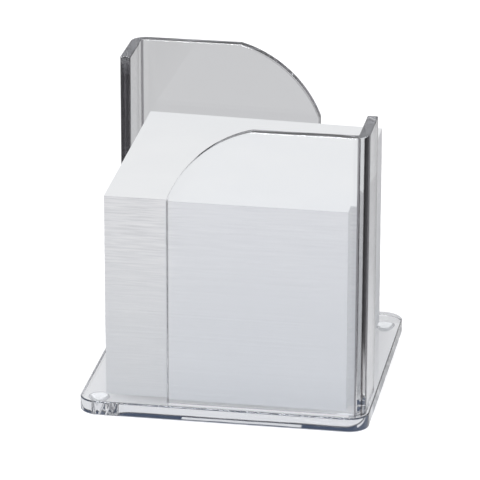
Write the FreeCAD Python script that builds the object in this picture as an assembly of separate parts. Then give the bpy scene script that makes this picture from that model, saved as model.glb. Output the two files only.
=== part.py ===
import FreeCAD, Part

import math
import os

# A clear holder for loose memo sheets: a plate on four bumper feet, two upright guards that stand
# round opposite corners, and the stack of sheets between them.
# Lengths are in millimetres. +X runs to the right along the front, +Y from front to back, +Z up.
# The origin is the middle of the footprint, on the surface that the feet stand on.

# Memo sheets
sheet_width = 90.0  # across the front
sheet_depth = 90.0  # from front to back
sheet_thickness = 0.1
sheets_per_bundle = 79
bundle_count = 10
single_sheet_names = ["third_sheet", "second_sheet", "top_sheet"]
sheet_clearance = 4.0  # from a centred stack to each guard's inner face

# Corner guards, bent from one strip each
guard_thickness = 4.0
guard_height = 107.9
guard_setback = 1.0  # from the plate's edge in to a guard's outer face
guard_panel_width = 73.5  # the wide leg, over the bend
guard_flange_width = 26.5  # the narrow leg, over the bend
guard_bend_inner_radius = 0.8
guard_bend_outer_radius = 6.0  # a hot bend leaves the wall a little thinner
guard_edge_round = 0.5
corner_run = 31.0  # how far the swept corner reaches along the top edge
corner_drop = 28.0  # how far it reaches down the free edge
corner_bulge = 5.0  # how far its arc stands out from the straight line between its ends

# Base plate
plate_thickness = 5.5
plate_corner_radius = 7.5
plate_edge_round = 0.5

# Bumper feet, domes with a small flat to stand on
foot_diameter = 8.0
foot_height = 2.2
foot_flat_diameter = 3.0
foot_inset = 8.0  # from the plate's edges to the nominal centre of a foot

# One overrun for all cuts
cut_overrun = 2.0

# Where the stack lies between the guards, as shares of the sheet clearance
stack_shift_shares = (0.075, -0.175)

# How far each bundle, from the lowest up, lies off the stack's middle, as shares of the clearance
bundle_jog_shares = [
    (0.06, 0.03),
    (0.02, -0.03),
    (0.05, 0.04),
    (-0.02, 0.01),
    (0.01, -0.04),
    (-0.04, 0.02),
    (0.03, -0.01),
    (-0.01, 0.03),
    (0.02, -0.02),
    (-0.03, 0.01),
]

# The same for the single sheets on top, from the lowest up
single_sheet_jog_shares = [(0.02, 0.03), (-0.02, -0.01), (0.0, 0.0)]

# The feet are pressed on by hand: the side of the plate, and the shift as shares of a diameter
foot_places = {
    "foot_front_left": (-1, -1),
    "foot_front_right": (1, -1),
    "foot_back_left": (-1, 1),
    "foot_back_right": (1, 1),
}
foot_shift_shares = {
    "foot_front_left": (-0.19, 0.21),
    "foot_front_right": (-0.21, -0.06),
    "foot_back_left": (-0.10, 0.08),
    "foot_back_right": (0.19, -0.20),
}

# Sizes that follow
sheet_margin = sheet_clearance + guard_thickness + guard_setback
plate_width = sheet_width + 2 * sheet_margin
plate_depth = sheet_depth + 2 * sheet_margin
plate_bottom = foot_height
plate_top = plate_bottom + plate_thickness
guard_top = plate_top + guard_height
guard_face_x = plate_width / 2 - guard_setback
guard_face_y = plate_depth / 2 - guard_setback
bundle_height = sheets_per_bundle * sheet_thickness
stack_top = plate_top + bundle_count * bundle_height


def point(x, y, z):
    return FreeCAD.Vector(x, y, z)


def line(start, end):
    return Part.LineSegment(start, end).toShape()


def arc(start, middle, end):
    return Part.Arc(start, middle, end).toShape()


def prism(edges, direction):
    # A closed outline pushed along a direction
    return Part.Face(Part.Wire(edges)).extrude(direction)


def quarter_middle(centre, radius, x_sign, y_sign):
    # The middle of a quarter circle on the given side of its centre
    reach = radius * math.sqrt(0.5)
    return centre + point(x_sign * reach, y_sign * reach, 0)


def rounded_rectangle(width, depth, radius, height):
    # An outline with round corners, walked anticlockwise from the front right corner
    run_x = width / 2 - radius
    run_y = depth / 2 - radius
    quarters = [(1, -1), (1, 1), (-1, 1), (-1, -1)]
    edges = []
    for index, (x_sign, y_sign) in enumerate(quarters):
        centre = point(x_sign * run_x, y_sign * run_y, height)
        beside = centre + point(x_sign * radius, 0, 0)
        ahead = centre + point(0, y_sign * radius, 0)
        start, end = (ahead, beside) if x_sign != y_sign else (beside, ahead)
        edges.append(arc(start, quarter_middle(centre, radius, x_sign, y_sign), end))
        next_x, next_y = quarters[(index + 1) % len(quarters)]
        next_centre = point(next_x * run_x, next_y * run_y, height)
        if next_x == x_sign:
            edges.append(line(end, next_centre + point(next_x * radius, 0, 0)))
        else:
            edges.append(line(end, next_centre + point(0, next_y * radius, 0)))
    return edges


def base_plate():
    edges = rounded_rectangle(plate_width, plate_depth, plate_corner_radius, plate_bottom)
    plate = prism(edges, point(0, 0, plate_thickness))
    # The level edges are the rims of the two faces
    rims = [edge for edge in plate.Edges if edge.BoundBox.ZLength < plate_edge_round]
    return plate.makeFillet(plate_edge_round, rims)


def guard_strip():
    # The bent strip before its corner is swept: wide leg along the front, narrow leg up the right side
    inner_x = guard_face_x - guard_thickness
    inner_y = guard_face_y - guard_thickness
    outer_bend = point(
        guard_face_x - guard_bend_outer_radius, guard_bend_outer_radius - guard_face_y, plate_top
    )
    inner_bend = point(
        inner_x - guard_bend_inner_radius, guard_bend_inner_radius - inner_y, plate_top
    )
    free_x = guard_face_x - guard_panel_width
    free_y = guard_flange_width - guard_face_y
    front_start = point(free_x, -guard_face_y, plate_top)
    front_end = outer_bend + point(0, -guard_bend_outer_radius, 0)
    side_start = outer_bend + point(guard_bend_outer_radius, 0, 0)
    side_end = point(guard_face_x, free_y, plate_top)
    side_return = point(inner_x, free_y, plate_top)
    inner_start = inner_bend + point(guard_bend_inner_radius, 0, 0)
    inner_end = inner_bend + point(0, -guard_bend_inner_radius, 0)
    front_return = point(free_x, -inner_y, plate_top)
    edges = [
        line(front_start, front_end),
        arc(front_end, quarter_middle(outer_bend, guard_bend_outer_radius, 1, -1), side_start),
        line(side_start, side_end),
        line(side_end, side_return),
        line(side_return, inner_start),
        arc(inner_start, quarter_middle(inner_bend, guard_bend_inner_radius, 1, -1), inner_end),
        line(inner_end, front_return),
        line(front_return, front_start),
    ]
    return prism(edges, point(0, 0, guard_height))


def corner_waste():
    # What the swept upper corner takes off the wide leg
    free_x = guard_face_x - guard_panel_width
    low = point(free_x, -guard_face_y - cut_overrun, guard_top - corner_drop)
    high = point(free_x + corner_run, low.y, guard_top)
    across = (high - low).normalize()
    outward = point(-across.z, 0, across.x)
    middle = (low + high) * 0.5 + outward * corner_bulge
    above = high + point(0, 0, cut_overrun)
    far = point(free_x - cut_overrun, low.y, above.z)
    beside = point(far.x, low.y, low.z)
    edges = [
        arc(low, middle, high),
        line(high, above),
        line(above, far),
        line(far, beside),
        line(beside, low),
    ]
    return prism(edges, point(0, guard_thickness + 2 * cut_overrun, 0))


def front_guard():
    guard = guard_strip().cut(corner_waste())
    # The glued foot of the guard keeps its sharp edges
    seat = plate_top + guard_edge_round
    free_edges = [edge for edge in guard.Edges if edge.BoundBox.ZMax > seat]
    return guard.makeFillet(guard_edge_round, free_edges)


def back_guard():
    guard = front_guard()
    guard.rotate(point(0, 0, 0), point(0, 0, 1), 180)
    return guard


def foot(name):
    # A dome hangs from its glued face and is cut flat where it stands
    rim = foot_diameter / 2
    flat = foot_flat_diameter / 2
    centre_height = (rim**2 - flat**2 + foot_height**2) / (2 * foot_height)
    dome_radius = math.hypot(flat, centre_height)
    low_angle = math.atan2(flat, centre_height)
    high_angle = math.atan2(rim, centre_height - foot_height)
    half_way = (low_angle + high_angle) / 2
    middle = point(dome_radius * math.sin(half_way), 0, centre_height - dome_radius * math.cos(half_way))
    axis_low = point(0, 0, 0)
    axis_high = point(0, 0, foot_height)
    flat_end = point(flat, 0, 0)
    rim_end = point(rim, 0, foot_height)
    edges = [
        line(axis_low, flat_end),
        arc(flat_end, middle, rim_end),
        line(rim_end, axis_high),
        line(axis_high, axis_low),
    ]
    dome = Part.Face(Part.Wire(edges)).revolve(axis_low, axis_high, 360)
    reach_x = plate_width / 2 - foot_inset
    reach_y = plate_depth / 2 - foot_inset
    x_side, y_side = foot_places[name]
    x_share, y_share = foot_shift_shares[name]
    x = x_side * reach_x + x_share * foot_diameter
    y = y_side * reach_y + y_share * foot_diameter
    dome.translate(point(x, y, 0))
    return dome


def sheet_block(bottom, height, jog_shares):
    # Sheets with their edges flush, off the middle by the stack's shift and their own jog
    x = (stack_shift_shares[0] + jog_shares[0]) * sheet_clearance
    y = (stack_shift_shares[1] + jog_shares[1]) * sheet_clearance
    corner = point(x - sheet_width / 2, y - sheet_depth / 2, bottom)
    return Part.makeBox(sheet_width, sheet_depth, height, corner)


def build_nodes():
    nodes = {
        "base_plate": base_plate(),
        "front_guard": front_guard(),
        "back_guard": back_guard(),
    }
    for name in foot_places:
        nodes[name] = foot(name)
    for index in range(bundle_count):
        bottom = plate_top + index * bundle_height
        jog = bundle_jog_shares[index % len(bundle_jog_shares)]
        nodes[f"sheet_bundle_{index + 1:02d}"] = sheet_block(bottom, bundle_height, jog)
    for index, name in enumerate(single_sheet_names):
        bottom = stack_top + index * sheet_thickness
        nodes[name] = sheet_block(bottom, sheet_thickness, single_sheet_jog_shares[index])
    return nodes


os.makedirs("parts", exist_ok=True)
for node_name, shape in build_nodes().items():
    shape.exportStep(f"parts/{node_name}.step")
    box = shape.BoundBox
    print(
        f"{node_name}: {len(shape.Solids)} solid, valid {shape.isValid()}, volume {shape.Volume:.1f},"
        f" x {box.XMin:.2f} to {box.XMax:.2f}, y {box.YMin:.2f} to {box.YMax:.2f},"
        f" z {box.ZMin:.2f} to {box.ZMax:.2f}"
    )
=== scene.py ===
import math
import random

import bmesh
import bpy
from mathutils import Matrix, Vector


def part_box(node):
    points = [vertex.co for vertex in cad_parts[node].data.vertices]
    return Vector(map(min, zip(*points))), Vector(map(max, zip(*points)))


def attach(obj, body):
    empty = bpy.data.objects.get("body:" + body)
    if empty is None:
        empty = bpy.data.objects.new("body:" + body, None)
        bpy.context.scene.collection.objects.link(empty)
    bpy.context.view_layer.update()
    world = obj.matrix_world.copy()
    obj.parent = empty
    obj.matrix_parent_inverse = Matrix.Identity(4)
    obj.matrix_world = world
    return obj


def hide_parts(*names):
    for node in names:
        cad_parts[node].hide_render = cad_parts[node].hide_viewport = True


# A clear memo sheet holder: a plate on four bumper feet, two bent corner guards and a stack of sheets.
# Metres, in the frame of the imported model: +X to the right, +Y to the back, +Z up.

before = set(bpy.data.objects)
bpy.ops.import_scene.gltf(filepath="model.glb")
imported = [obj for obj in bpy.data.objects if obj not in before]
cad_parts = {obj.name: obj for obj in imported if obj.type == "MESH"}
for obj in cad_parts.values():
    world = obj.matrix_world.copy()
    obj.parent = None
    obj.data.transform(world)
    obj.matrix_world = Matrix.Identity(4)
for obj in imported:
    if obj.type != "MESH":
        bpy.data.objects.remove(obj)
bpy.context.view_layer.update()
print("frame loaded")

meshing = {
    "weld": 1e-7,  # vertices this close become one
    "near": 1e-6,
    "sameHeight": 1e-5,
    "levelNormal": 0.99,  # z of the normal of a face that counts as level
    "faceWeight": 100,  # how much more a large face counts in the shading
}


def newPiece(name, shape, material, body, replaced):
    # Makes the object from a finished bmesh and ties it to the frame
    mesh = bpy.data.meshes.new(name)
    shape.to_mesh(mesh)
    shape.free()
    mesh.materials.append(material)
    piece = bpy.data.objects.new(name, mesh)
    bpy.context.scene.collection.objects.link(piece)
    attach(piece, body)
    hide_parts(*replaced)
    return piece


def evenShading(piece):
    # Smooth shading that keeps the large faces flat
    for face in piece.data.polygons:
        face.use_smooth = True
    weighted = piece.modifiers.new("flat faces stay flat", "WEIGHTED_NORMAL")
    weighted.mode = "FACE_AREA"
    weighted.weight = meshing["faceWeight"]
    weighted.keep_sharp = True


def sharpEdges(shape, degrees):
    leastAngle = math.radians(degrees)
    return [
        edge for edge in shape.edges
        if len(edge.link_faces) == 2 and edge.calc_face_angle() > leastAngle
    ]


def uprightEdges(shape, leastRise):
    return [
        edge for edge in shape.edges if abs(edge.verts[0].co.z - edge.verts[1].co.z) > leastRise
    ]


def direction(setup):
    # From the middle towards a camera or lamp: azimuth to the right of the front, elevation up
    azimuth, elevation = math.radians(setup["azimuth"]), math.radians(setup["elevation"])
    level = math.cos(elevation)
    return Vector((math.sin(azimuth) * level, -math.cos(azimuth) * level, math.sin(elevation)))


# Camera

cameraSetup = {
    "azimuth": 9.622,  # degrees
    "elevation": 20.509,
    "roll": 0.141,
    "distance": 1.4094,
    "target": (-0.002153, 0.0, 0.054348),
    "lens": 281.09,
    "sensor": 36.0,
}


def makeCamera(setup):
    back = direction(setup)
    data = bpy.data.cameras.new("camera")
    data.lens = setup["lens"]
    data.sensor_width = setup["sensor"]
    camera = bpy.data.objects.new("camera", data)
    bpy.context.scene.collection.objects.link(camera)
    roll = Matrix.Rotation(math.radians(setup["roll"]), 3, "Z")
    turn = (-back).to_track_quat("-Z", "Y").to_matrix() @ roll
    place = Vector(setup["target"]) + back * setup["distance"]
    camera.matrix_world = Matrix.Translation(place) @ turn.to_4x4()
    bpy.context.scene.camera = camera


makeCamera(cameraSetup)
print("camera set")


# Materials


class Value:
    # A number socket that can be used in Python sums
    def __init__(self, look, socket):
        self.look = look
        self.socket = socket

    def combined(self, operation, first, second):
        made = self.look.node("ShaderNodeMath", {"operation": operation}, {0: first, 1: second})
        return Value(self.look, made.outputs[0])

    def __add__(self, other):
        return self.combined("ADD", self, other)

    def __rsub__(self, other):
        return self.combined("SUBTRACT", other, self)

    def __mul__(self, other):
        return self.combined("MULTIPLY", self, other)

    def __abs__(self):
        return self.combined("ABSOLUTE", self, 0.0)

    def most(self, other):
        return self.combined("MAXIMUM", self, other)


class Look:
    # A material or world, with one way to add every node
    def __init__(self, owner):
        owner.use_nodes = True
        self.owner = owner
        self.tree = owner.node_tree
        self.tree.nodes.clear()

    def node(self, kind, settings=None, inputs=None):
        made = self.tree.nodes.new(kind)
        for key, setting in (settings or {}).items():
            setattr(made, key, setting)
        for key, given in (inputs or {}).items():
            if isinstance(given, Value):
                self.tree.links.new(given.socket, made.inputs[key])
            elif isinstance(given, bpy.types.NodeSocket):
                self.tree.links.new(given, made.inputs[key])
            else:
                made.inputs[key].default_value = given
        return made

    def value(self, kind, output, settings=None, inputs=None):
        return Value(self, self.node(kind, settings, inputs).outputs[output])

    def split(self, vector):
        # The X, Y and Z of a vector
        parts = self.node("ShaderNodeSeparateXYZ", None, {"Vector": vector}).outputs
        return [Value(self, part) for part in parts]

    def objectPlace(self):
        return self.node("ShaderNodeTexCoord").outputs["Object"]

    def noise(self, scale, detail=2.0, roughness=0.5):
        # Noise on Object coordinates, stretched to the grain of a pattern
        places = self.node("ShaderNodeMapping", None, {"Vector": self.objectPlace(), "Scale": scale})
        return self.value(
            "ShaderNodeTexNoise", "Fac", None,
            {"Vector": places.outputs[0], "Scale": 1.0, "Detail": detail, "Roughness": roughness},
        )

    def spread(self, value, fromRange, toLow, toHigh):
        # Maps a range of the value to another, and holds it at the ends
        return self.value(
            "ShaderNodeMapRange", "Result", {"clamp": True},
            {"Value": value, "From Min": fromRange[0], "From Max": fromRange[1],
             "To Min": toLow, "To Max": toHigh},
        )

    def rise(self, value, start, end):
        return self.spread(value, (start, end), 0.0, 1.0)

    def fall(self, value, start, end):
        return self.spread(value, (start, end), 1.0, 0.0)

    def mixed(self, factor, first, second):
        made = self.node(
            "ShaderNodeMix", {"data_type": "RGBA"}, {"Factor": factor, 6: first, 7: second}
        )
        return made.outputs[2]

    def bump(self, strength, distance, height):
        return self.node(
            "ShaderNodeBump", None, {"Strength": strength, "Distance": distance, "Height": height}
        ).outputs[0]

    def blend(self, factor, first, second):
        return self.node(
            "ShaderNodeMixShader", None, {0: factor, 1: first.outputs[0], 2: second.outputs[0]}
        )

    def rays(self):
        # What a ray has been through, by name
        outputs = self.node("ShaderNodeLightPath").outputs
        return {output.name: Value(self, output) for output in outputs}

    def openToLight(self, shader, passed, rays):
        # Lamps and soft light go straight through, only tinted
        straight = self.node("ShaderNodeBsdfTransparent", None, {"Color": passed})
        return self.blend(rays["Is Shadow Ray"].most(rays["Is Diffuse Ray"]), shader, straight)

    def finish(self, shader):
        isWorld = isinstance(self.owner, bpy.types.World)
        kind = "ShaderNodeOutputWorld" if isWorld else "ShaderNodeOutputMaterial"
        self.node(kind, None, {"Surface": shader.outputs[0]})
        return self.owner


acrylic = {
    "tint": (0.99, 0.995, 1.0, 1.0),
    "smearTint": (0.98, 0.987, 1.0, 1.0),
    "smearScale": (14.0, 14.0, 9.0),
    "smearRange": (0.35, 0.7),
    "fineScale": (160.0, 160.0, 60.0),
    "roughRange": (0.1, 0.4),
    "roughest": 0.02,
    "longPaintedShade": (0.04, 0.036, 0.044, 1.0),  # painted shade for light that has gone far along inside a guard
    "longBounces": (1.0, 4.0),
    "footTop": 0.009,  # no such painted shade below this height
    "footFade": 0.001,
    "innerCorner": 0.04905,  # how far out from the middle the bends' inner sides reach
    "innerFade": 0.0001,
    "cornerPaintedShade": (0.19, 0.185, 0.2, 1.0),  # painted shade on the tight inner side of a bend
    "cornerSkew": (0.05, 0.2),  # |normal x| times |normal y|, which is 0 on the flat legs
    "streakPaintedShade": (0.08, 0.07, 0.075, 1.0),  # and a painted shade streak along its outer side
    "streakStart": (0.69, 0.73),  # |normal x|
    "streakEnd": (0.80, 0.85),
    "streakSkew": (0.3, 0.35),
    "index": 1.49,
    "passed": (0.984, 0.988, 0.996, 1.0),  # what each face lets through to lamps and soft light
    "waveScale": (70.0, 70.0, 45.0),
    "waveStrength": 0.5,
    "waveHeight": 0.00001,
}


def guardPaintedShade(look, setup, tint, rays):
    # Painted shade on a guard: where light that has gone far inside comes out darker, on the bends'
    # tight inner sides, and in a streak along their outer sides
    x, y, z = look.split(look.objectPlace())
    # painted shade: light that has gone far inside a guard comes out darker
    long = look.spread(rays["Glossy Depth"], setup["longBounces"], 0.0, 1.0)
    long = long * look.rise(z, setup["footTop"], setup["footTop"] + setup["footFade"])
    tint = look.mixed(long, tint, setup["longPaintedShade"])
    facing = look.split(look.node("ShaderNodeNewGeometry").outputs["Normal"])
    sideways = abs(facing[0])
    skew = abs(facing[1]) * sideways
    # painted shade in the tight inner side of the bend
    corner = setup["innerCorner"]
    inside = look.fall(abs(x).most(abs(y)), corner, corner + setup["innerFade"])
    tint = look.mixed(inside * look.rise(skew, *setup["cornerSkew"]), tint, setup["cornerPaintedShade"])
    # painted shade: a dark streak along the bend's outer side
    streak = look.rise(sideways, *setup["streakStart"]) * look.fall(sideways, *setup["streakEnd"])
    streak = streak * look.rise(skew, *setup["streakSkew"]) * (1 - inside)
    return look.mixed(streak, tint, setup["streakPaintedShade"])


def makeAcrylic(name, setup, isGuard):
    look = Look(bpy.data.materials.new(name))
    rays = look.rays()
    smear = look.noise(setup["smearScale"], 3.0)
    fine = look.noise(setup["fineScale"])
    tint = look.mixed(look.rise(smear, *setup["smearRange"]), setup["tint"], setup["smearTint"])
    if isGuard:
        tint = guardPaintedShade(look, setup, tint, rays)
    wave = look.noise(setup["waveScale"], 1.0)
    glass = look.node(
        "ShaderNodeBsdfPrincipled", None,
        {"Base Color": tint,
         "Roughness": look.spread(smear * fine, setup["roughRange"], 0.0, setup["roughest"]),
         "IOR": setup["index"], "Transmission Weight": 1.0,
         "Normal": look.bump(setup["waveStrength"], setup["waveHeight"], wave)},
    )
    return look.finish(look.openToLight(glass, setup["passed"], rays))


bumper = {
    "body": (0.93, 0.94, 0.95, 1.0),
    "dusty": (0.85, 0.86, 0.87, 1.0),
    "dustScale": (900.0, 900.0, 900.0),
    "dustRange": (0.45, 0.7),
    "roughRange": (0.3, 0.7),
    "smoothest": 0.02,
    "roughest": 0.12,
    "grainStrength": 0.2,
    "grainHeight": 0.00002,
    "index": 1.41,
    "clearness": 0.75,
    "passed": (0.9, 0.9, 0.9, 1.0),
}


def makeBumper(setup):
    look = Look(bpy.data.materials.new("clearSoftBumper"))
    dust = look.noise(setup["dustScale"], 3.0)
    rubber = look.node(
        "ShaderNodeBsdfPrincipled", None,
        {"Base Color": look.mixed(look.rise(dust, *setup["dustRange"]), setup["body"], setup["dusty"]),
         "Roughness": look.spread(dust, setup["roughRange"], setup["smoothest"], setup["roughest"]),
         "IOR": setup["index"], "Transmission Weight": setup["clearness"],
         "Normal": look.bump(setup["grainStrength"], setup["grainHeight"], dust)},
    )
    return look.finish(look.openToLight(rubber, setup["passed"], look.rays()))


paper = {
    "face": (0.862, 0.872, 0.885, 1.0),
    "fibre": (0.845, 0.856, 0.872, 1.0),
    "fibreScale": (1400.0, 1400.0, 1400.0),
    "mottleScale": (60.0, 60.0, 60.0),
    "mottleRange": (0.8, 1.2),
    "edge": (0.85, 0.853, 0.872, 1.0),
    # painted highlight and painted shade for the fine lines of the uneven sheet edges
    "edgeLinePaintedHighlight": (0.93, 0.93, 0.94, 1.0),
    "edgeLinePaintedShade": (0.72, 0.725, 0.745, 1.0),
    "edgeLowPaintedShade": (0.735, 0.755, 0.785, 1.0),  # painted shade low in the stack: the cut edges are darker towards the bottom
    "lineScale": (70.0, 70.0, 1500.0),
    "lineMiddle": 0.5,  # the noise from which lines turn dark or light
    "lineReach": 0.16,  # and how far from there they are fully so
    "linesLeft": -0.022,  # the front's painted highlight and shade lines are strong up to here, and faint from the next place on
    "linesRight": -0.014,
    "linesFaint": 0.25,
    "linesAside": 0.7,  # their strength on the other sides
    "linesRange": (0.4, 0.9),  # shares of the height over which they get stronger
    "linesLow": 0.12,
    "linesHigh": 0.75,
    "front": -0.044,
    "frontFade": 0.002,
    "lowest": 0.007,
    "highest": 0.087,
    "levelRange": (0.6, 0.8),  # |normal z| from a cut edge to a face
    "roughRange": (0.3, 0.7),
    "smoothest": 0.85,
    "roughest": 0.97,
    "grainStrength": 0.25,
    "grainHeight": 0.00003,
}


def cutEdges(look, setup):
    # The stack's sides: fine painted highlight and shade lines over a colour with painted shade lower
    # down
    x, y, z = look.split(look.objectPlace())
    # painted shade: the cut edges' colour darkens towards the bottom of the stack
    share = look.rise(z, setup["lowest"], setup["highest"])
    shadedLow = look.mixed(share, setup["edgeLowPaintedShade"], setup["edge"])
    strength = look.spread(share, setup["linesRange"], setup["linesLow"], setup["linesHigh"])
    faint = look.spread(x, (setup["linesLeft"], setup["linesRight"]), 1.0, setup["linesFaint"])
    frontEnd = (setup["front"], setup["front"] + setup["frontFade"])
    strength = strength * faint.most(look.spread(y, frontEnd, 0.0, setup["linesAside"]))
    line = look.noise(setup["lineScale"], 2.0, 0.6)
    middle, reach = setup["lineMiddle"], setup["lineReach"]
    # painted shade and painted highlight lines along the uneven sheet edges
    dark = look.rise(line, middle, middle - reach) * strength
    light = look.rise(line, middle, middle + reach) * strength
    return look.mixed(light, look.mixed(dark, shadedLow, setup["edgeLinePaintedShade"]), setup["edgeLinePaintedHighlight"])


def makePaper(setup):
    look = Look(bpy.data.materials.new("whiteMemoPaper"))
    fibre = look.noise(setup["fibreScale"], 4.0, 0.6)
    mottle = look.rise(fibre + look.noise(setup["mottleScale"]), *setup["mottleRange"])
    face = look.mixed(mottle, setup["face"], setup["fibre"])
    facing = look.split(look.node("ShaderNodeNewGeometry").outputs["Normal"])
    level = look.rise(abs(facing[2]), *setup["levelRange"])
    sheet = look.node(
        "ShaderNodeBsdfPrincipled", None,
        {"Base Color": look.mixed(level, cutEdges(look, setup), face),
         "Roughness": look.spread(fibre, setup["roughRange"], setup["smoothest"], setup["roughest"]),
         "Specular IOR Level": 0.0,
         "Normal": look.bump(setup["grainStrength"], setup["grainHeight"], fibre)},
    )
    return look.finish(sheet)


glue = {
    "colour": (0.9, 0.9, 0.9, 1.0),
    "alpha": 0.03,
    "roughness": 0.1,
    "rim": 0.0006,  # left dry along a guard's faces
    "backLeft": -0.027,  # the back guard's joint has run dry to the left of this
}


def makeGlue(setup):
    look = Look(bpy.data.materials.new("clearSolventJoint"))
    return look.finish(look.node(
        "ShaderNodeBsdfPrincipled", None,
        {"Base Color": setup["colour"], "Roughness": setup["roughness"], "Alpha": setup["alpha"]},
    ))


def glueZones():
    # Where the guards' feet are one with the plate: lowest and highest x and y
    low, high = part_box("front_guard")
    wall, bend, rim = guard["thickness"], guard["bendOutside"], glue["rim"]
    panel = (low.x + rim, high.x - bend, low.y + rim, low.y + wall - rim / 2)
    flange = (high.x - wall + rim / 2, high.x - rim, low.y + bend, high.y - rim)
    backPanel = (glue["backLeft"], -low.x - rim, -panel[3], -panel[2])
    backFlange = (-flange[1], -flange[0], -flange[3], -flange[2])
    return [panel, flange, backPanel, backFlange]


def levelFaces(shape, height):
    return [
        face for face in shape.faces
        if abs(face.normal.z) > meshing["levelNormal"]
        and abs(face.calc_center_median().z - height) < meshing["sameHeight"]
    ]


def markGlue(shape, height):
    # Cuts the level faces at this height along the zones and gives those inside the joint's material
    zones = glueZones()
    for zone in zones:
        for place, axis in ((zone[0], 0), (zone[1], 0), (zone[2], 1), (zone[3], 1)):
            parts = set()
            for face in levelFaces(shape, height):
                parts.update([face, *face.edges, *face.verts])
            origin, normal = Vector(), Vector()
            origin[axis], normal[axis] = place, 1.0
            bmesh.ops.bisect_plane(
                shape, geom=list(parts), dist=meshing["weld"], plane_co=origin, plane_no=normal
            )
    for face in levelFaces(shape, height):
        middle = face.calc_center_median()
        if any(zone[0] < middle.x < zone[1] and zone[2] < middle.y < zone[3] for zone in zones):
            face.material_index = 1


guardLook = makeAcrylic("clearBentAcrylic", acrylic, True)
plateLook = makeAcrylic("clearFlatAcrylic", acrylic, False)
glueLook = makeGlue(glue)
bumperLook = makeBumper(bumper)
paperLook = makePaper(paper)
print("materials made")


# Corner guards

guard = {
    "thickness": 0.004,
    "panelWidth": 0.0735,
    "flangeWidth": 0.0265,
    "bendInside": 0.0008,  # radius
    "bendOutside": 0.006,
    "cornerRun": 0.031,
    "cornerDrop": 0.028,
    "cornerBulge": 0.005,
    "edgeRound": 0.0005,
    "edgeSteps": 3,
    "sharpAngle": 11.0,  # degrees; steeper edges are rounded
    "seam": 0.00003,  # the hairline over the plate
    "cornerSteps": 28,
    "bendSteps": 16,
}


def legSkin(setup, low, high, bottom):
    # The outer skin of the wide leg, with its swept corner, and the edge where the bend starts
    freeX, faceY, top = high.x - setup["panelWidth"], low.y, high.z
    bendX = high.x - setup["bendOutside"]
    shape = bmesh.new()
    start = Vector((freeX, faceY, top - setup["cornerDrop"]))
    end = Vector((freeX + setup["cornerRun"], faceY, top))
    chord = end - start
    radius = chord.length ** 2 / (8 * setup["cornerBulge"]) + setup["cornerBulge"] / 2
    outward = Vector((-chord.z, 0, chord.x)).normalized()
    centre = (start + end) / 2 - outward * (radius - setup["cornerBulge"])
    first = shape.verts.new(start)
    bmesh.ops.spin(
        shape, geom=[first], cent=centre, axis=(0, 1, 0),
        angle=2 * math.asin(chord.length / 2 / radius), steps=setup["cornerSteps"],
    )
    last = max(shape.verts, key=lambda vert: vert.co.x)
    corners = [
        shape.verts.new(place)
        for place in ((bendX, faceY, top), (bendX, faceY, bottom), (freeX, faceY, bottom))
    ]
    shape.edges.new((last, corners[0]))
    bendEdge = shape.edges.new((corners[0], corners[1]))
    shape.edges.new((corners[1], corners[2]))
    shape.edges.new((corners[2], first))
    bmesh.ops.contextual_create(shape, geom=shape.edges[:])
    return shape, bendEdge


def tightenBend(setup, shape, centre):
    # The bend is tighter inside than the wall makes it
    outerRadius, wall = setup["bendOutside"], setup["thickness"]
    near = meshing["near"]
    inside = [
        vert for vert in shape.verts
        if vert.co.x > centre.x - near and vert.co.y < centre.y + near
        and (vert.co.xy - centre.xy).length < outerRadius - wall / 2
    ]
    share = setup["bendInside"] / (outerRadius - wall)
    bmesh.ops.scale(
        shape, vec=(share, share, 1.0), verts=inside, space=Matrix.Translation(-centre)
    )
    slide = outerRadius - wall - setup["bendInside"]
    bmesh.ops.translate(shape, vec=(slide, -slide, 0), verts=inside)


def guardShape(setup, low, high):
    # The wide leg's skin, then the bend and the narrow leg, then the wall's thickness
    bottom = low.z + setup["seam"]
    outerRadius = setup["bendOutside"]
    centre = Vector((high.x - outerRadius, low.y + outerRadius, 0))
    shape, bendEdge = legSkin(setup, low, high, bottom)
    turned = bmesh.ops.spin(
        shape, geom=[bendEdge, *bendEdge.verts], cent=centre, axis=(0, 0, 1), angle=math.pi / 2,
        steps=setup["bendSteps"],
    )
    lastEdges = [part for part in turned["geom_last"] if isinstance(part, bmesh.types.BMEdge)]
    leg = bmesh.ops.extrude_edge_only(shape, edges=lastEdges)
    for part in leg["geom"]:
        if isinstance(part, bmesh.types.BMVert):
            part.co.y = low.y + setup["flangeWidth"]
    bmesh.ops.remove_doubles(shape, verts=shape.verts, dist=meshing["weld"])
    bmesh.ops.recalc_face_normals(shape, faces=shape.faces)
    if max(shape.faces, key=lambda face: face.calc_area()).normal.y > 0:
        bmesh.ops.reverse_faces(shape, faces=shape.faces)
    bmesh.ops.solidify(shape, geom=shape.faces[:], thickness=setup["thickness"])
    bmesh.ops.recalc_face_normals(shape, faces=shape.faces)
    tightenBend(setup, shape, centre)
    rounded = [
        edge for edge in sharpEdges(shape, setup["sharpAngle"])
        if max(vert.co.z for vert in edge.verts) > bottom + setup["edgeRound"]
    ]
    bmesh.ops.bevel(
        shape, geom=rounded, offset=setup["edgeRound"], offset_type="OFFSET", affect="EDGES",
        segments=setup["edgeSteps"], profile=0.5, material=-1, clamp_overlap=False,
    )
    return shape


def makeGuard(name, node, halfTurn):
    low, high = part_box(node)
    if halfTurn:
        low, high = Vector((-high.x, -high.y, low.z)), Vector((-low.x, -low.y, high.z))
    shape = guardShape(guard, low, high)
    if halfTurn:
        turn = Matrix.Rotation(math.pi, 3, "Z")
        bmesh.ops.rotate(shape, verts=shape.verts, cent=(0, 0, 0), matrix=turn)
    shape.normal_update()
    markGlue(shape, low.z + guard["seam"])
    piece = newPiece(name, shape, guardLook, "holder", [node])
    piece.data.materials.append(glueLook)
    evenShading(piece)


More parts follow.
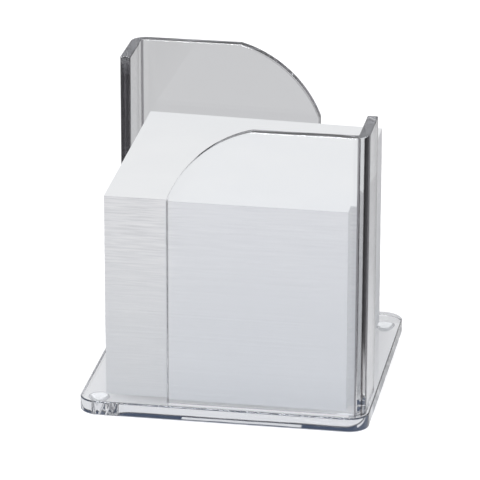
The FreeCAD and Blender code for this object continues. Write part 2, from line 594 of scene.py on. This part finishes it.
makeGuard("front_guard_acrylic", "front_guard", False)
makeGuard("back_guard_acrylic", "back_guard", True)
print("guards made")


# Base plate

plate = {
    "cornerRadius": 0.0075,
    "cornerSteps": 14,
    "edgeRound": 0.0005,
    "edgeSteps": 4,
    "sharpAngle": 60.0,  # degrees; steeper edges are rounded
}


def makePlate(setup):
    low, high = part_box("base_plate")
    size = high - low
    shape = bmesh.new()
    bmesh.ops.create_cube(shape, size=1.0)
    bmesh.ops.scale(shape, vec=size, verts=shape.verts)
    bmesh.ops.translate(shape, vec=(low + high) / 2, verts=shape.verts)
    bmesh.ops.bevel(
        shape, geom=uprightEdges(shape, size.z / 2), offset=setup["cornerRadius"], affect="EDGES",
        segments=setup["cornerSteps"], profile=0.5, material=-1,
    )
    bmesh.ops.bevel(
        shape, geom=sharpEdges(shape, setup["sharpAngle"]), offset=setup["edgeRound"],
        affect="EDGES", segments=setup["edgeSteps"], profile=0.5, material=-1, clamp_overlap=False,
    )
    shape.normal_update()
    markGlue(shape, high.z)
    piece = newPiece("base_plate_acrylic", shape, plateLook, "holder", ["base_plate"])
    piece.data.materials.append(glueLook)
    evenShading(piece)


makePlate(plate)
print("plate made")


# Bumper feet

foot = {
    "flatDiameter": 0.003,
    "seam": 0.00002,  # the hairline under the plate
    "profileSteps": 8,
    "turnSteps": 40,
}


def makeFoot(node, setup):
    low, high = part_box(node)
    centre = (low + high) / 2
    rim, flat, height = (high.x - low.x) / 2, setup["flatDiameter"] / 2, high.z - low.z
    domeHeight = (rim ** 2 - flat ** 2 + height ** 2) / (2 * height)
    lowAngle = math.atan2(flat, domeHeight)
    highAngle = math.atan2(rim, domeHeight - height)
    shape = bmesh.new()
    start = shape.verts.new((centre.x + flat, centre.y, low.z))
    bmesh.ops.spin(
        shape, geom=[start], cent=(centre.x, centre.y, low.z + domeHeight), axis=(0, -1, 0),
        angle=highAngle - lowAngle, steps=setup["profileSteps"],
    )
    for vert in shape.verts:
        vert.co.z = min(vert.co.z, high.z - setup["seam"])
    bmesh.ops.spin(
        shape, geom=shape.verts[:] + shape.edges[:], cent=(centre.x, centre.y, 0), axis=(0, 0, 1),
        angle=2 * math.pi, steps=setup["turnSteps"], use_merge=True,
    )
    bmesh.ops.remove_doubles(shape, verts=shape.verts, dist=meshing["weld"])
    bmesh.ops.holes_fill(shape, edges=shape.edges, sides=0)
    bmesh.ops.recalc_face_normals(shape, faces=shape.faces)
    evenShading(newPiece(node + "_bumper", shape, bumperLook, "holder", [node]))


for side in ("front_left", "front_right", "back_left", "back_right"):
    makeFoot("foot_" + side, foot)
print("feet made")


# Sheets

sheets = {
    "bundles": 10,
    "perBundle": 79,
    "single": ["third_sheet", "second_sheet", "top_sheet"],
    "width": 0.090,
    "cuts": 3,  # across a sheet each way, so that it follows the slope of the stack
    "seam": 0.00002,  # air under the lowest sheet
    "gapShare": 0.04,  # of a sheet's thickness, open between two sheets
    "corners": {"frontLeft": 0.0779, "frontRight": 0.0777, "backLeft": 0.0806, "backRight": 0.0790},
    "bundleJogShare": 0.3,  # how much of the bundles' own jog the sheets show
    "driftEvery": 6,  # sheets from one drawn point of the slow drift to the next
    "slowJog": 0.00003,
    "quickJog": 0.00002,
    "turn": 0.0006,  # radians
    "seed": 11,
}


def sheetBlank(setup):
    # A flat sheet of unit thickness
    shape = bmesh.new()
    bmesh.ops.create_cube(shape, size=1.0)
    upright = uprightEdges(shape, 0.5)
    level = [edge for edge in shape.edges if edge not in upright]
    bmesh.ops.subdivide_edges(shape, edges=level, cuts=setup["cuts"], use_grid_fill=True)
    bmesh.ops.scale(shape, vec=(setup["width"], setup["width"], 1.0), verts=shape.verts)
    mesh = bpy.data.meshes.new("sheetBlank")
    shape.to_mesh(mesh)
    shape.free()
    return mesh


def stackHeight(x, y, setup):
    # The stack is a little higher at the back left
    across = x / setup["width"] + 0.5
    along = y / setup["width"] + 0.5
    corners = setup["corners"]
    front = corners["frontLeft"] * (1 - across) + corners["frontRight"] * across
    back = corners["backLeft"] * (1 - across) + corners["backRight"] * across
    return front * (1 - along) + back * along


def makeSheets(setup):
    draw = random.Random(setup["seed"])
    blank = sheetBlank(setup)
    count = setup["bundles"] * setup["perBundle"] + len(setup["single"])
    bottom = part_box("base_plate")[1].z + setup["seam"]
    driftCount = count // setup["driftEvery"] + 3
    slow = [(draw.gauss(0, 1), draw.gauss(0, 1)) for _ in range(driftCount)]

    def jog(index):
        # Slow drift between the drawn points, and a quick one for each sheet
        whole, rest = divmod(index, setup["driftEvery"])
        part = rest / setup["driftEvery"]
        drift = [slow[whole][axis] * (1 - part) + slow[whole + 1][axis] * part for axis in (0, 1)]
        return [
            drift[axis] * setup["slowJog"] + draw.uniform(-1, 1) * setup["quickJog"]
            for axis in (0, 1)
        ]

    middles = []
    for bundle in range(setup["bundles"]):
        low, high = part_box(f"sheet_bundle_{bundle + 1:02d}")
        middles.append((low + high) / 2)
    mean = sum(middles, Vector()) / len(middles)

    def middleOf(index):
        # Drifts evenly from bundle to bundle, so that no step shows between two
        place = min(max((index + 0.5) / setup["perBundle"] - 0.5, 0.0), len(middles) - 1.001)
        whole = int(place)
        drifted = middles[whole].lerp(middles[whole + 1], place - whole)
        return mean.lerp(drifted, setup["bundleJogShare"])

    def addSheet(shape, index, middle):
        before = len(shape.verts)
        shape.from_mesh(blank)
        shape.verts.ensure_lookup_table()
        jogX, jogY = jog(index)
        turn = draw.uniform(-1, 1) * setup["turn"]
        for vert in shape.verts[before:]:
            x, y, side = vert.co
            share = (index + 0.5 + side * (1 - setup["gapShare"])) / count
            vert.co = (
                middle.x + jogX + x - y * turn,
                middle.y + jogY + y + x * turn,
                bottom + share * stackHeight(x, y, setup),
            )

    for bundle in range(setup["bundles"]):
        node = f"sheet_bundle_{bundle + 1:02d}"
        shape = bmesh.new()
        for index in range(bundle * setup["perBundle"], (bundle + 1) * setup["perBundle"]):
            addSheet(shape, index, middleOf(index))
        newPiece(node + "_paper", shape, paperLook, "sheet_stack", [node])
    for row, node in enumerate(setup["single"]):
        low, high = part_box(node)
        shape = bmesh.new()
        addSheet(shape, setup["bundles"] * setup["perBundle"] + row, (low + high) / 2)
        newPiece(node + "_paper", shape, paperLook, node, [node])
    bpy.data.meshes.remove(blank)


makeSheets(sheets)
print("sheets made")


# Floor

floorSetup = {
    "reach": 4.0,
    "drop": 0.00005,  # below the feet
    "fade": 0.001,  # the width of a zone's edge, if it has none of its own
    "colour": (0.64, 0.64, 0.65, 1.0),
    "cameraLift": 0.6,  # added for the camera, so that the floor is white there
    "mirrorLift": 0.75,  # the same for the pale floor that the front panel mirrors
    "mirrorAlong": (-0.11, -0.08),  # fully there up to the first place, and gone at the second
    "mirrorLeft": (-0.07, -0.058),
    "mirrorRight": (0.06, 0.08),
    "poolLift": 0.29,  # and for what is seen in and through the acrylic
    "poolReach": (0.07, 0.16),  # where that fades, from the middle
    "footLift": 0.6,  # under the bumpers, which gather the light, seen straight through the plate
    "footDepth": (3.0, 4.0),  # faces gone through
    "footPlace": (0.0465, 0.0455, 0.0),  # about where each bumper is, counted from the middle
    "footReach": 0.006,
    "cardReach": (0.09, 0.11),  # black cards left and right, seen only after an inner reflection
    "cardAndShadowColour": (0.03, 0.028, 0.033, 1.0),
    "deepBounces": 3.0,  # a painted shadow under the plate in the cards' colour, but for its front edge, after this many inner reflections
    "deepHalf": 0.056,
    "deepFront": -0.036,
    "deepRight": 0.046,
    "deepLimit": 13.0,  # past this many its front is seen again, by the front guard's top edge
    "shadeBounces": 4.0,  # and a navy one close behind the plate, which the plate's front shows
    "shadeNear": 0.056,
    "shadeFar": (0.082, 0.086),
    "shadeBeside": (0.056, 0.06),
    "shadeColour": (0.035, 0.055, 0.105, 1.0),
}


def floorLift(look, setup, rays, along, across, away):
    # What the floor shines by: more for the camera and for what the acrylic shows straight
    inGlass = rays["Is Glossy Ray"].most(rays["Is Transmission Ray"])
    lift = rays["Is Camera Ray"] * setup["cameraLift"]
    lift = lift + inGlass * look.spread(away, setup["poolReach"], setup["poolLift"], 0.0)
    mirrored = rays["Is Glossy Ray"] * (1 - rays["Is Transmission Ray"])
    mirrored = mirrored * look.fall(along, *setup["mirrorAlong"])
    mirrored = mirrored * look.rise(across, *setup["mirrorLeft"])
    mirrored = mirrored * look.fall(across, *setup["mirrorRight"])
    lift = lift + mirrored * setup["mirrorLift"]
    spot = look.node("ShaderNodeCombineXYZ", None, {"X": abs(across), "Y": abs(along)})
    fromFoot = look.value(
        "ShaderNodeVectorMath", "Value", {"operation": "DISTANCE"},
        {0: spot.outputs[0], 1: setup["footPlace"]},
    )
    disc = look.fall(fromFoot, setup["footReach"], setup["footReach"] + setup["fade"])
    disc = disc * look.fall(rays["Glossy Depth"], 0.0, 1.0)
    disc = disc * look.rise(rays["Transmission Depth"], *setup["footDepth"])
    return lift + disc * setup["footLift"]


def makeFloor(setup):
    shape = bmesh.new()
    bmesh.ops.create_grid(shape, x_segments=1, y_segments=1, size=setup["reach"])
    bmesh.ops.translate(shape, vec=(0, 0, -setup["drop"]), verts=shape.verts)
    mesh = bpy.data.meshes.new("floor")
    shape.to_mesh(mesh)
    shape.free()
    look = Look(bpy.data.materials.new("paleFloor"))
    rays = look.rays()
    place = look.objectPlace()
    away = look.value("ShaderNodeVectorMath", "Value", {"operation": "LENGTH"}, {0: place})
    across, along, _ = look.split(place)
    aside = abs(across)
    depth, fade = rays["Glossy Depth"], setup["fade"]

    def past(count):
        return look.rise(depth, count - 1, count)

    lift = floorLift(look, setup, rays, along, across, away)
    matt = look.node("ShaderNodeBsdfDiffuse", None, {"Color": setup["colour"]})
    glow = look.node("ShaderNodeEmission", None, {"Color": (1, 1, 1, 1), "Strength": lift})
    pale = look.node("ShaderNodeAddShader", None, {0: matt.outputs[0], 1: glow.outputs[0]})
    darkCardAndShadow = look.node("ShaderNodeEmission", None, {"Color": setup["cardAndShadowColour"], "Strength": 1.0})
    shade = look.node("ShaderNodeEmission", None, {"Color": setup["shadeColour"], "Strength": 1.0})

    cards = look.rise(aside, *setup["cardReach"]) * past(1.0)
    # painted shadow: the floor under the plate is dark for light that has reflected inside the
    # acrylic, but for its front edge
    beneath = look.fall(aside.most(abs(along)), setup["deepHalf"], setup["deepHalf"] + fade)
    behind = look.rise(along, setup["deepFront"] - fade, setup["deepFront"])
    right = look.rise(across, setup["deepRight"], setup["deepRight"] + fade)
    fewer = look.fall(depth, setup["deepLimit"] - 1, setup["deepLimit"])
    deep = beneath * behind.most(right).most(fewer) * past(setup["deepBounces"])
    hidden = cards.most(deep) * rays["Is Transmission Ray"]
    withCardsAndShadow = look.blend(hidden, pale, darkCardAndShadow)

    shaded = look.rise(along, setup["shadeNear"] - fade, setup["shadeNear"])
    shaded = shaded * look.fall(along, *setup["shadeFar"]) * look.fall(aside, *setup["shadeBeside"])
    shaded = shaded * past(setup["shadeBounces"]) * rays["Is Transmission Ray"]
    mesh.materials.append(look.finish(look.blend(shaded, withCardsAndShadow, shade)))
    floor = bpy.data.objects.new("floor", mesh)
    bpy.context.scene.collection.objects.link(floor)


# World and lamps

studio = {
    "ambientLeft": 0.9,
    "ambientRight": 0.72,
    "roomBack": (0.58, 0.58, 0.6, 1.0),
    "roomDark": (0.04, 0.055, 0.09, 1.0),
    "roomLow": (0.72, 0.73, 0.76, 1.0),  # the wall behind, seen through the plate, and the room's foot
    "wallHeight": (0.45, 0.55),  # z of a direction, where the wall behind ends
    "wallFront": (0.5, 0.7),  # and y, where it begins
    "footHeight": (0.04, 0.08),
    "ceilingSoftbox": 40.0,  # how much brighter than the room, seen only as a reflection
    "softboxHeight": (0.75, 0.78),
    "softboxAcross": (-0.30, 0.30),
    "softboxAlong": (-0.60, -0.15),
    "softboxFade": 0.04,
    "lamps": {
        "keySoftbox": {
            "azimuth": -10.0, "elevation": 48.0, "distance": 1.7, "size": 0.5, "power": 5.3,
        },
    },
}


def makeWorld(setup):
    world = bpy.data.worlds.new("studio")
    bpy.context.scene.world = world
    look = Look(world)
    rays = look.rays()
    x, y, z = look.split(look.node("ShaderNodeTexCoord").outputs["Generated"])
    low = look.fall(z, *setup["wallHeight"]) * look.rise(y, *setup["wallFront"])
    low = low.most(look.fall(z, *setup["footHeight"]))
    room = look.mixed(low, setup["roomDark"], setup["roomLow"])
    overhead = look.rise(z, *setup["softboxHeight"])
    fade = setup["softboxFade"]
    for value, (lowest, highest) in ((x, setup["softboxAcross"]), (y, setup["softboxAlong"])):
        overhead = overhead * look.rise(value, lowest, lowest + fade)
        overhead = overhead * look.fall(value, highest - fade, highest)
    ambient = look.spread(x, (-1.0, 1.0), setup["ambientLeft"], setup["ambientRight"])
    softbox = overhead * setup["ceilingSoftbox"] + 1.0

    def background(colour, strength):
        return look.node("ShaderNodeBackground", None, {"Color": colour, "Strength": strength})

    shown = background((1, 1, 1, 1), ambient)
    shown = look.blend(rays["Is Glossy Ray"], shown, background(setup["roomBack"], softbox))
    shown = look.blend(rays["Is Transmission Ray"], shown, background(room, 1.0))
    shown = look.blend(rays["Is Camera Ray"], shown, background((1, 1, 1, 1), 1.0))
    look.finish(shown)


def makeLamp(name, setup):
    back = direction(setup)
    data = bpy.data.lights.new(name, "AREA")
    data.shape = "SQUARE"
    data.size = setup["size"]
    data.energy = setup["power"]
    lamp = bpy.data.objects.new(name, data)
    turn = back.to_track_quat("Z", "Y").to_matrix().to_4x4()
    lamp.matrix_world = Matrix.Translation(back * setup["distance"]) @ turn
    bpy.context.scene.collection.objects.link(lamp)


makeFloor(floorSetup)
makeWorld(studio)
for lampName, lampSetup in studio["lamps"].items():
    makeLamp(lampName, lampSetup)
scene = bpy.context.scene
scene.view_settings.view_transform = "Standard"
scene.cycles.max_bounces = 40
scene.cycles.glossy_bounces = 32
scene.cycles.transmission_bounces = 32
scene.cycles.transparent_max_bounces = 24
print("studio made")
